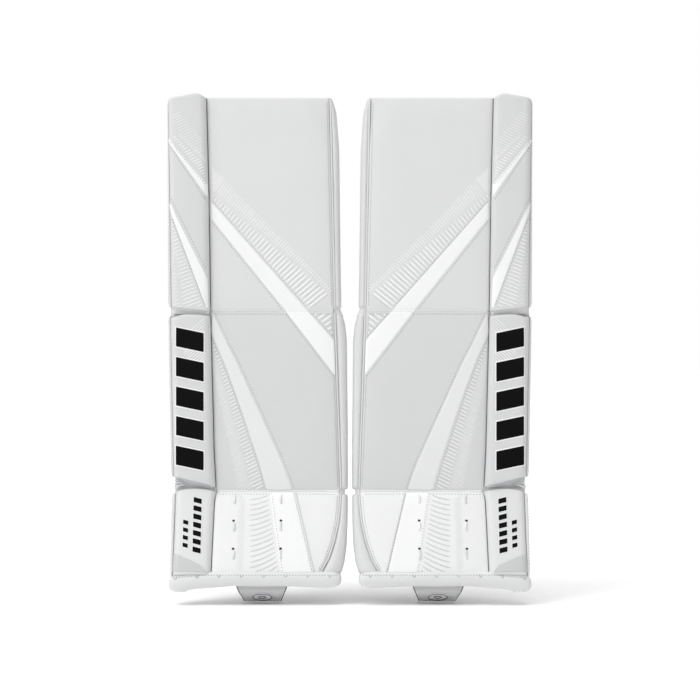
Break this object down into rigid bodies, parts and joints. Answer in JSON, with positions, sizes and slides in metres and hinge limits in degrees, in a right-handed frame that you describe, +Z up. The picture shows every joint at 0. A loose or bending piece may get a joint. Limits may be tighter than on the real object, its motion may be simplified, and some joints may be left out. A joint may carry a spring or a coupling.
{
  "type": "goalie leg pads",
  "caption": "Pair of padded leg guards for an ice hockey goalie: thigh, shin and boot sections with outer rolls, knee cradle, calf flaps, straps and toe tabs.",
  "frame": {"origin": "below the middle of the pair, level with the lower ends of the toe tabs", "axes": "+X towards the left leg's pad (right in the picture), +Y back towards the legs, +Z up; the faces look along -Y"},
  "size_m": [0.5668, 0.175, 0.793],
  "materials": {
    "core_foam": "closed-cell foam",
    "face_leather": "white grained synthetic leather",
    "roll_leather": "white grained synthetic leather",
    "gusset_leather": "white grained synthetic leather",
    "cradle_leather": "white grained synthetic leather",
    "binding_leather": "white grained synthetic leather",
    "liner_cloth": "knitted spacer cloth",
    "stiffener_plastic": "satin sheet",
    "strap_webbing": "woven webbing",
    "clip_plastic": "satin",
    "lace_cord": "waxed cord",
    "toe_leather": "stiff grey synthetic leather",
    "eyelet_plastic": "moulded"
  },
  "bodies": {
    "right_thigh": {"right_thigh_core": "core_foam", "right_thigh_face": "face_leather", "right_thigh_roll": "roll_leather", "right_thigh_gusset": "gusset_leather", "right_thigh_liner": "liner_cloth", "right_knee_block": "cradle_leather", "right_knee_wing": "cradle_leather"},
    "right_knee_strap": {"right_knee_strap": "strap_webbing"},
    "right_shin": {"right_shin_core": "core_foam", "right_shin_face": "face_leather", "right_shin_roll": "roll_leather", "right_shin_gusset": "gusset_leather", "right_shin_stiffener": "stiffener_plastic", "right_leg_liner": "liner_cloth"},
    "right_inner_flap": {"right_inner_calf_flap": "cradle_leather"},
    "right_outer_flap": {"right_outer_calf_flap": "cradle_leather"},
    "right_calf_strap": {"right_calf_strap": "strap_webbing", "right_calf_clip": "clip_plastic"},
    "right_boot": {"right_boot_core": "core_foam", "right_boot_face": "face_leather", "right_boot_roll": "roll_leather", "right_boot_gusset": "gusset_leather", "right_boot_binding": "binding_leather", "right_boot_laces": "lace_cord", "right_inner_boot_wing": "cradle_leather", "right_outer_boot_wing": "cradle_leather"},
    "right_boot_strap": {"right_boot_strap": "strap_webbing", "right_boot_clip": "clip_plastic"},
    "right_toe": {"right_toe_bridge": "toe_leather", "right_toe_eyelet": "eyelet_plastic"},
    "left_thigh": {"left_thigh_core": "core_foam", "left_thigh_face": "face_leather", "left_thigh_roll": "roll_leather", "left_thigh_gusset": "gusset_leather", "left_thigh_liner": "liner_cloth", "left_knee_block": "cradle_leather", "left_knee_wing": "cradle_leather"},
    "left_knee_strap": {"left_knee_strap": "strap_webbing"},
    "left_shin": {"left_shin_core": "core_foam", "left_shin_face": "face_leather", "left_shin_roll": "roll_leather", "left_shin_gusset": "gusset_leather", "left_shin_stiffener": "stiffener_plastic", "left_leg_liner": "liner_cloth"},
    "left_inner_flap": {"left_inner_calf_flap": "cradle_leather"},
    "left_outer_flap": {"left_outer_calf_flap": "cradle_leather"},
    "left_calf_strap": {"left_calf_strap": "strap_webbing", "left_calf_clip": "clip_plastic"},
    "left_boot": {"left_boot_core": "core_foam", "left_boot_face": "face_leather", "left_boot_roll": "roll_leather", "left_boot_gusset": "gusset_leather", "left_boot_binding": "binding_leather", "left_boot_laces": "lace_cord", "left_inner_boot_wing": "cradle_leather", "left_outer_boot_wing": "cradle_leather"},
    "left_boot_strap": {"left_boot_strap": "strap_webbing", "left_boot_clip": "clip_plastic"},
    "left_toe": {"left_toe_bridge": "toe_leather", "left_toe_eyelet": "eyelet_plastic"}
  },
  "joints": [
    {"name": "right_knee_break", "type": "hinge", "parent": "right_shin", "child": "right_thigh", "pos_m": [-0.14, -0.03379, 0.454], "axis": [1, 0, 0], "range_deg": [-8, 12], "stiffness_Nm_per_rad": 40},
    {"name": "right_boot_break", "type": "hinge", "parent": "right_shin", "child": "right_boot", "pos_m": [-0.14, -0.03379, 0.173], "axis": [1, 0, 0], "range_deg": [-15, 15], "stiffness_Nm_per_rad": 25},
    {"name": "right_knee_strap_hinge", "type": "hinge", "parent": "right_thigh", "child": "right_knee_strap", "pos_m": [-0.204, 0.06967, 0.54354], "axis": [0, -0.0523, 0.9986], "range_deg": [0, 100]},
    {"name": "right_inner_flap_hinge", "type": "hinge", "parent": "right_shin", "child": "right_inner_flap", "pos_m": [-0.052, 0.02421, 0.3], "axis": [0, 0, -1], "range_deg": [0, 45], "stiffness_Nm_per_rad": 0.3},
    {"name": "right_outer_flap_hinge", "type": "hinge", "parent": "right_shin", "child": "right_outer_flap", "pos_m": [-0.205, 0.02421, 0.3], "axis": [0, 0, 1], "range_deg": [0, 85], "stiffness_Nm_per_rad": 0.3},
    {"name": "right_calf_strap_hinge", "type": "hinge", "parent": "right_outer_flap", "child": "right_calf_strap", "pos_m": [-0.187, 0.08471, 0.3], "axis": [0, 0, 1], "range_deg": [0, 90]},
    {"name": "right_boot_strap_hinge", "type": "hinge", "parent": "right_boot", "child": "right_boot_strap", "pos_m": [-0.196, 0.03778, 0.0831], "axis": [0, 0.342, 0.9397], "range_deg": [0, 100]},
    {"name": "right_toe_flex", "type": "hinge", "parent": "right_boot", "child": "right_toe", "pos_m": [-0.136, -0.07147, 0.02], "axis": [1, 0, 0], "range_deg": [-60, 18], "stiffness_Nm_per_rad": 0.25},
    {"name": "left_knee_break", "type": "hinge", "parent": "left_shin", "child": "left_thigh", "pos_m": [0.14, -0.03379, 0.454], "axis": [1, 0, 0], "range_deg": [-8, 12], "stiffness_Nm_per_rad": 40},
    {"name": "left_boot_break", "type": "hinge", "parent": "left_shin", "child": "left_boot", "pos_m": [0.14, -0.03379, 0.173], "axis": [1, 0, 0], "range_deg": [-15, 15], "stiffness_Nm_per_rad": 25},
    {"name": "left_knee_strap_hinge", "type": "hinge", "parent": "left_thigh", "child": "left_knee_strap", "pos_m": [0.204, 0.06967, 0.54354], "axis": [0, 0.0523, -0.9986], "range_deg": [0, 100]},
    {"name": "left_inner_flap_hinge", "type": "hinge", "parent": "left_shin", "child": "left_inner_flap", "pos_m": [0.052, 0.02421, 0.3], "axis": [0, 0, 1], "range_deg": [0, 45], "stiffness_Nm_per_rad": 0.3},
    {"name": "left_outer_flap_hinge", "type": "hinge", "parent": "left_shin", "child": "left_outer_flap", "pos_m": [0.205, 0.02421, 0.3], "axis": [0, 0, -1], "range_deg": [0, 85], "stiffness_Nm_per_rad": 0.3},
    {"name": "left_calf_strap_hinge", "type": "hinge", "parent": "left_outer_flap", "child": "left_calf_strap", "pos_m": [0.187, 0.08471, 0.3], "axis": [0, 0, -1], "range_deg": [0, 90]},
    {"name": "left_boot_strap_hinge", "type": "hinge", "parent": "left_boot", "child": "left_boot_strap", "pos_m": [0.196, 0.03778, 0.0831], "axis": [0, -0.342, -0.9397], "range_deg": [0, 100]},
    {"name": "left_toe_flex", "type": "hinge", "parent": "left_boot", "child": "left_toe", "pos_m": [0.136, -0.07147, 0.02], "axis": [1, 0, 0], "range_deg": [-60, 18], "stiffness_Nm_per_rad": 0.25},
    {"name": "pad_spacing", "type": "slide", "parent": "right_shin", "child": "left_shin", "axis": [1, 0, 0], "range_m": [0, 0.25]}
  ]
}
